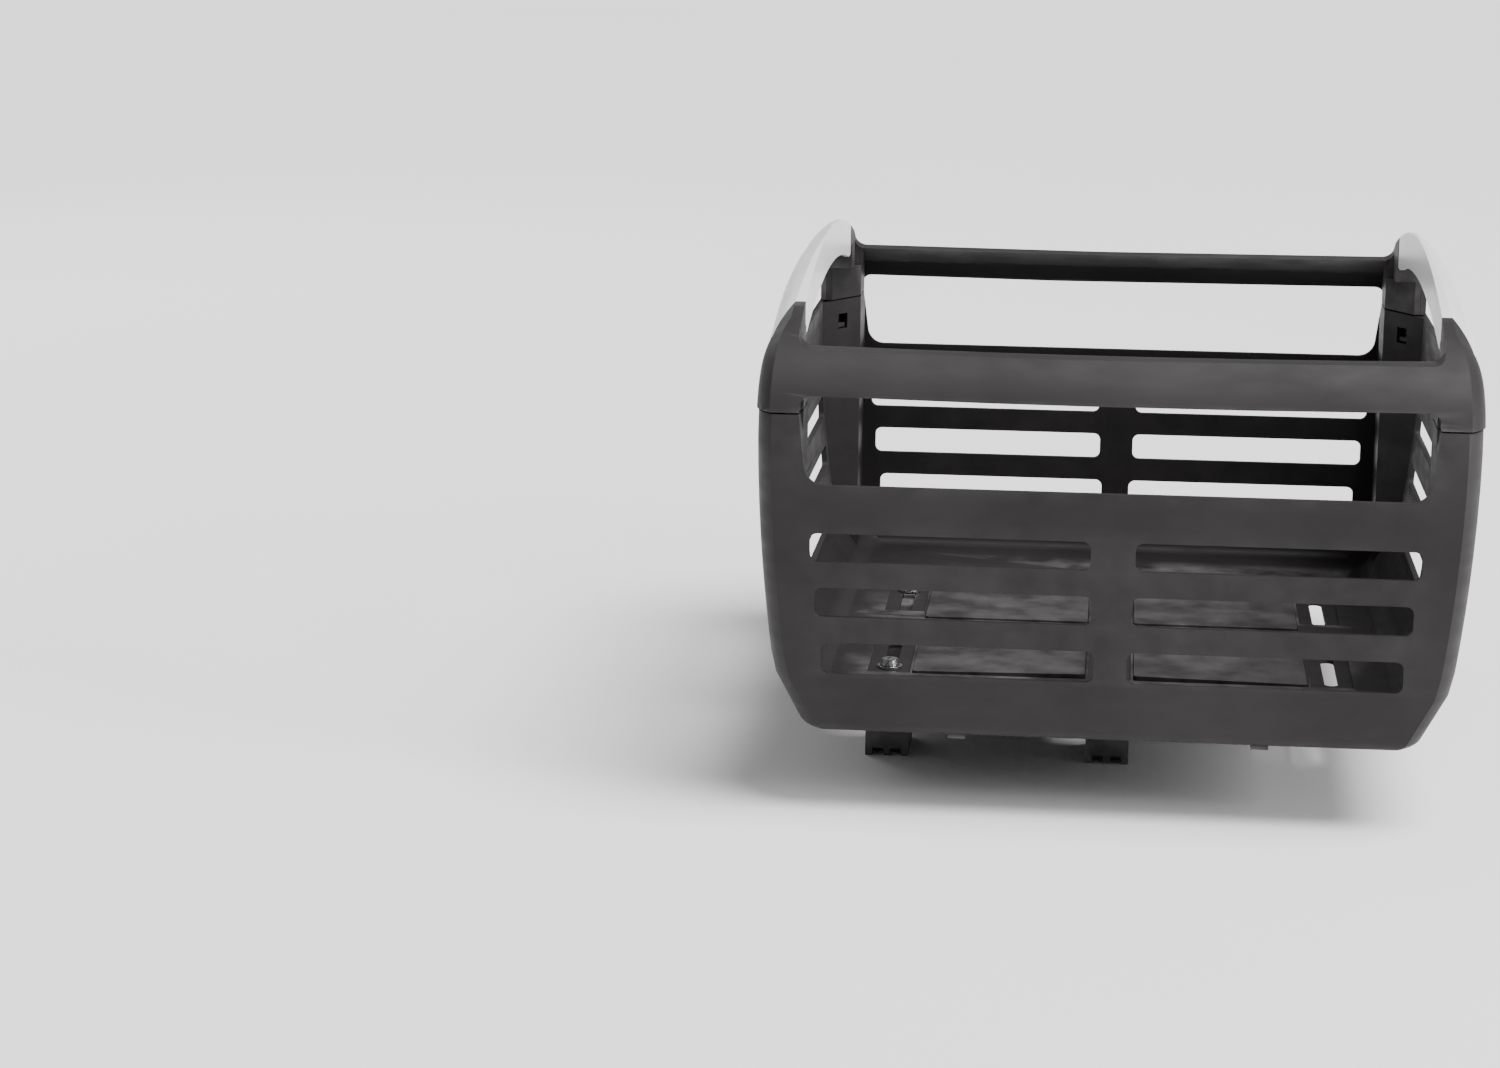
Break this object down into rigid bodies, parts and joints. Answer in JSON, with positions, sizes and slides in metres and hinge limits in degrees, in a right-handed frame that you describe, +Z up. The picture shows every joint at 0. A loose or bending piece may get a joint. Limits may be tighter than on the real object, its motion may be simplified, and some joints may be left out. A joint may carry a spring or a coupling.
{
  "type": "bicycle rack basket",
  "caption": "Open slotted plastic crate basket for a bicycle rack, with arched hand grips on both ends and sliding bolt-on clamps under its floor.",
  "frame": {"origin": "middle of the basket's footprint, at the bottom of the clamp feet", "axes": "+X along the bicycle towards its front, +Y across the bicycle, +Z up"},
  "size_m": [0.3336, 0.403, 0.2485],
  "materials": {
    "charcoal": "fine grained moulded polypropylene",
    "silver_grey": "satin painted",
    "dark_grey": "smooth satin",
    "black": "satin",
    "steel": "bright zinc"
  },
  "bodies": {
    "basket": {"tub": "charcoal", "rim_frame": "charcoal", "handle_cover_front": "silver_grey", "handle_cover_rear": "silver_grey", "floor_plate_rear_right": "dark_grey", "floor_plate_rear_left": "dark_grey", "floor_plate_front_right": "dark_grey", "floor_plate_front_left": "dark_grey", "handle_screw_front_left": "steel", "handle_screw_front_right": "steel", "handle_screw_rear_left": "steel", "handle_screw_rear_right": "steel"},
    "clamp_rear_right": {"upper_jaw_rear_right": "black", "clamp_washer_rear_right": "steel"},
    "jaw_rear_right": {"lower_jaw_rear_right": "black", "clamp_nut_rear_right": "steel"},
    "bolt_rear_right": {"clamp_bolt_rear_right": "steel"},
    "clamp_rear_left": {"upper_jaw_rear_left": "black", "clamp_washer_rear_left": "steel"},
    "jaw_rear_left": {"lower_jaw_rear_left": "black", "clamp_nut_rear_left": "steel"},
    "bolt_rear_left": {"clamp_bolt_rear_left": "steel"},
    "clamp_mid_right": {"upper_jaw_mid_right": "black", "clamp_washer_mid_right": "steel"},
    "jaw_mid_right": {"lower_jaw_mid_right": "black", "clamp_nut_mid_right": "steel"},
    "bolt_mid_right": {"clamp_bolt_mid_right": "steel"},
    "clamp_mid_left": {"upper_jaw_mid_left": "black", "clamp_washer_mid_left": "steel"},
    "jaw_mid_left": {"lower_jaw_mid_left": "black", "clamp_nut_mid_left": "steel"},
    "bolt_mid_left": {"clamp_bolt_mid_left": "steel"}
  },
  "joints": [
    {"name": "clamp_slide_rear_right", "type": "slide", "parent": "basket", "child": "clamp_rear_right", "axis": [0, -1, 0], "range_m": [-0.034, 0.0025]},
    {"name": "jaw_open_rear_right", "type": "slide", "parent": "clamp_rear_right", "child": "jaw_rear_right", "axis": [0, 0, -1], "range_m": [0, 0.006]},
    {"name": "bolt_turn_rear_right", "type": "hinge", "parent": "clamp_rear_right", "child": "bolt_rear_right", "pos_m": [-0.1085, -0.082, 0.0155], "axis": [0, 0, 1], "range_deg": [0, 2160]},
    {"name": "clamp_slide_rear_left", "type": "slide", "parent": "basket", "child": "clamp_rear_left", "axis": [0, 1, 0], "range_m": [-0.034, 0.0025]},
    {"name": "jaw_open_rear_left", "type": "slide", "parent": "clamp_rear_left", "child": "jaw_rear_left", "axis": [0, 0, -1], "range_m": [0, 0.006]},
    {"name": "bolt_turn_rear_left", "type": "hinge", "parent": "clamp_rear_left", "child": "bolt_rear_left", "pos_m": [-0.1085, 0.082, 0.0155], "axis": [0, 0, 1], "range_deg": [0, 2160]},
    {"name": "clamp_slide_mid_right", "type": "slide", "parent": "basket", "child": "clamp_mid_right", "axis": [0, -1, 0], "range_m": [-0.034, 0.0025]},
    {"name": "jaw_open_mid_right", "type": "slide", "parent": "clamp_mid_right", "child": "jaw_mid_right", "axis": [0, 0, -1], "range_m": [0, 0.006]},
    {"name": "bolt_turn_mid_right", "type": "hinge", "parent": "clamp_mid_right", "child": "bolt_mid_right", "pos_m": [0, -0.082, 0.0155], "axis": [0, 0, 1], "range_deg": [0, 2160]},
    {"name": "clamp_slide_mid_left", "type": "slide", "parent": "basket", "child": "clamp_mid_left", "axis": [0, 1, 0], "range_m": [-0.034, 0.0025]},
    {"name": "jaw_open_mid_left", "type": "slide", "parent": "clamp_mid_left", "child": "jaw_mid_left", "axis": [0, 0, -1], "range_m": [0, 0.006]},
    {"name": "bolt_turn_mid_left", "type": "hinge", "parent": "clamp_mid_left", "child": "bolt_mid_left", "pos_m": [0, 0.082, 0.0155], "axis": [0, 0, 1], "range_deg": [0, 2160]}
  ],
  "couplings": [
    {"joint": "bolt_turn_rear_right", "follows": "jaw_open_rear_right", "rad_per_m": 6283.2},
    {"joint": "bolt_turn_rear_left", "follows": "jaw_open_rear_left", "rad_per_m": 6283.2},
    {"joint": "bolt_turn_mid_right", "follows": "jaw_open_mid_right", "rad_per_m": 6283.2},
    {"joint": "bolt_turn_mid_left", "follows": "jaw_open_mid_left", "rad_per_m": 6283.2}
  ]
}
